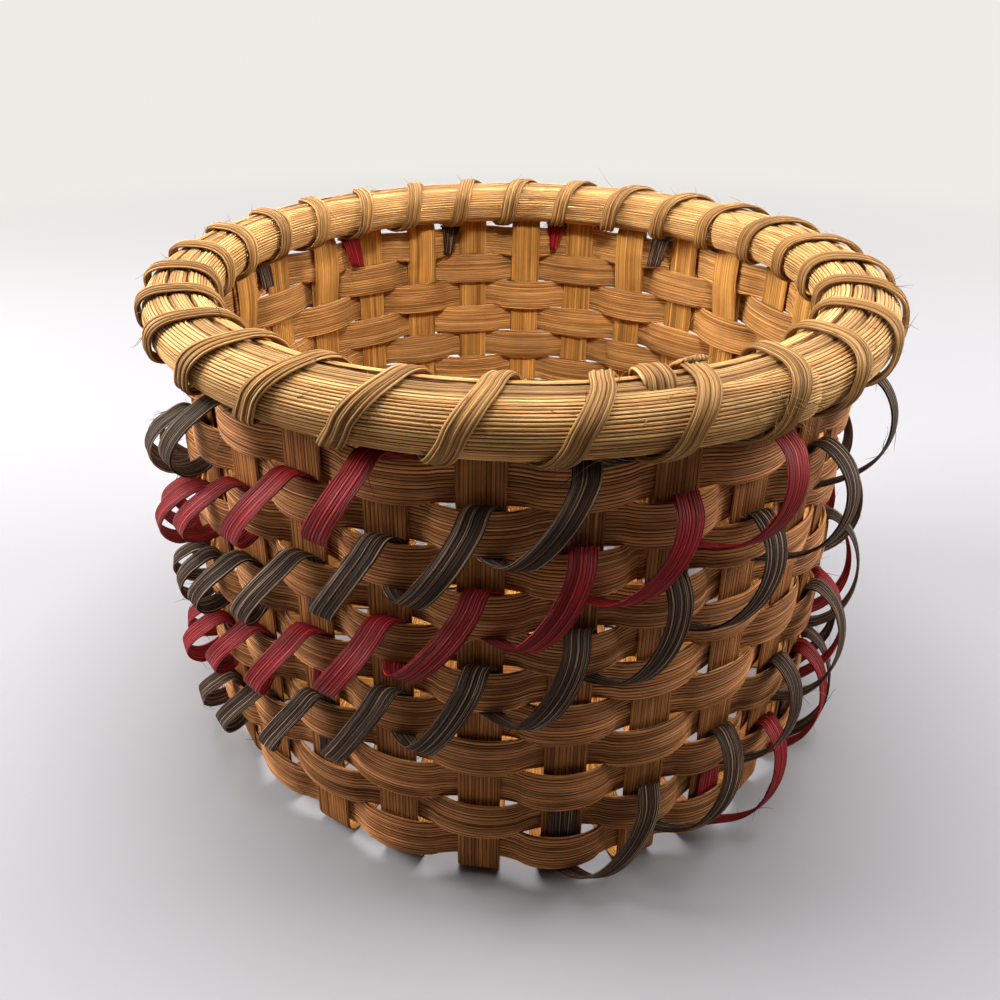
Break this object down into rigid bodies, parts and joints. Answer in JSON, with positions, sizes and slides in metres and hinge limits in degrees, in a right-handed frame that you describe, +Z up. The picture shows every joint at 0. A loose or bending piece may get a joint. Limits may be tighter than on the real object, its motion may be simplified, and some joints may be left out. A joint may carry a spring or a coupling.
{
  "type": "round splint basket",
  "caption": "Round open basket of flat wood splints: plain-woven base and wall, lashed double rim and diagonal chains of dyed curled strips.",
  "frame": {"origin": "on the floor plane under the centre of the woven base, at the middle of the basket's round plan", "axes": "+Z up through the open mouth; -Y the front, where a stake stands on the centre line and the pictured side faces; +X to the right of the front"},
  "size_m": [0.2522, 0.2522, 0.1686],
  "materials": {
    "stake_reed": "satin, undyed flat reed",
    "weaver_reed": "satin, undyed flat-oval reed",
    "rim_reed": "satin, undyed half-round reed",
    "lashing_reed": "satin, undyed flat reed",
    "black_dyed_reed": "matte, dyed grey-black",
    "red_dyed_reed": "satin, dyed dark red"
  },
  "bodies": {
    "root": {"stake_lengthwise_1": "stake_reed", "stake_lengthwise_2": "stake_reed", "stake_lengthwise_3": "stake_reed", "stake_lengthwise_4": "stake_reed", "stake_lengthwise_5": "stake_reed", "stake_lengthwise_6": "stake_reed", "stake_lengthwise_7": "stake_reed", "stake_crosswise_1": "stake_reed", "stake_crosswise_2": "stake_reed", "stake_crosswise_3": "stake_reed", "stake_crosswise_4": "stake_reed", "stake_crosswise_5": "stake_reed", "stake_crosswise_6": "stake_reed", "stake_crosswise_7": "stake_reed", "weaver_row_01": "weaver_reed", "weaver_row_02": "weaver_reed", "weaver_row_03": "weaver_reed", "weaver_row_04": "weaver_reed", "weaver_row_05": "weaver_reed", "weaver_row_06": "weaver_reed", "weaver_row_07": "weaver_reed", "weaver_row_08": "weaver_reed", "weaver_row_09": "weaver_reed", "weaver_row_10": "weaver_reed", "weaver_row_11": "weaver_reed", "rim_row": "weaver_reed", "rim_hoop_outer": "rim_reed", "rim_hoop_inner": "rim_reed", "rim_filler": "rim_reed", "rim_lashing_1": "lashing_reed", "rim_lashing_2": "lashing_reed", "curl_strip_black_1": "black_dyed_reed", "curl_strip_black_2": "black_dyed_reed", "curl_strip_black_3": "black_dyed_reed", "curl_strip_black_4": "black_dyed_reed", "curl_strip_black_5": "black_dyed_reed", "curl_strip_black_6": "black_dyed_reed", "curl_strip_red_1": "red_dyed_reed", "curl_strip_red_2": "red_dyed_reed", "curl_strip_red_3": "red_dyed_reed", "curl_strip_red_4": "red_dyed_reed"}
  },
  "joints": []
}
